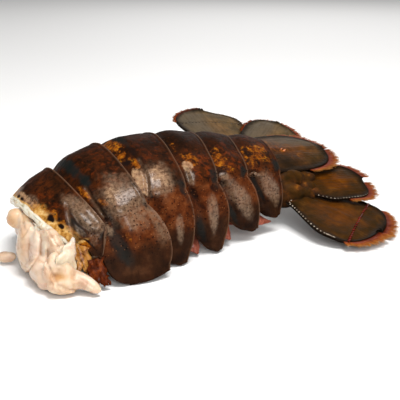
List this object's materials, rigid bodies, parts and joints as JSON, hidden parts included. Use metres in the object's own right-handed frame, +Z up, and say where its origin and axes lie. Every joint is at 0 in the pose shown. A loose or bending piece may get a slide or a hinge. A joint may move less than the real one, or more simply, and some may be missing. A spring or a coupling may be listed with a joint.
{
  "type": "lobster tail",
  "caption": "Raw lobster tail with overlapping arched shell segments, hanging side flaps, a spread hair-fringed tail fan and pale meat at the open front end.",
  "frame": {"origin": "on the surface that the tail lies on, below the middle of its bounding box", "axes": "+X toward the tail fan along the body, +Z up, -Y toward the side whose outer fan blade is low"},
  "size_m": [0.1536, 0.1106, 0.0411],
  "materials": {
    "shell": "glossy mottled dark shell",
    "meat": "moist translucent raw meat",
    "membrane": "soft pale membrane",
    "swimmeret": "soft rust-coloured leaf",
    "fan_blade": "glossy olive-brown blade",
    "fringe": "fine stiff hair"
  },
  "bodies": {
    "root": {"shell_segment_1": "shell", "shell_segment_2": "shell", "shell_segment_3": "shell", "shell_segment_4": "shell", "shell_segment_5": "shell", "shell_segment_6": "shell", "membrane_rim": "membrane", "meat": "meat", "meat_scrap": "meat", "front_leaf": "swimmeret", "torn_skin": "meat", "underside": "membrane", "swimmeret_2_left": "swimmeret", "swimmeret_2_right": "swimmeret", "swimmeret_3_left": "swimmeret", "swimmeret_3_right": "swimmeret", "swimmeret_4_left": "swimmeret", "swimmeret_4_right": "swimmeret", "swimmeret_5_left": "swimmeret", "swimmeret_5_right": "swimmeret", "telson": "fan_blade", "telson_fringe": "fringe", "endopod_left": "fan_blade", "endopod_left_fringe": "fringe", "endopod_right": "fan_blade", "endopod_right_fringe": "fringe", "exopod_left": "fan_blade", "exopod_left_tip": "fan_blade", "exopod_left_fringe": "fringe", "exopod_right": "fan_blade", "exopod_right_tip": "fan_blade", "exopod_right_fringe": "fringe", "protopod_left": "shell", "protopod_right": "shell"}
  },
  "joints": []
}
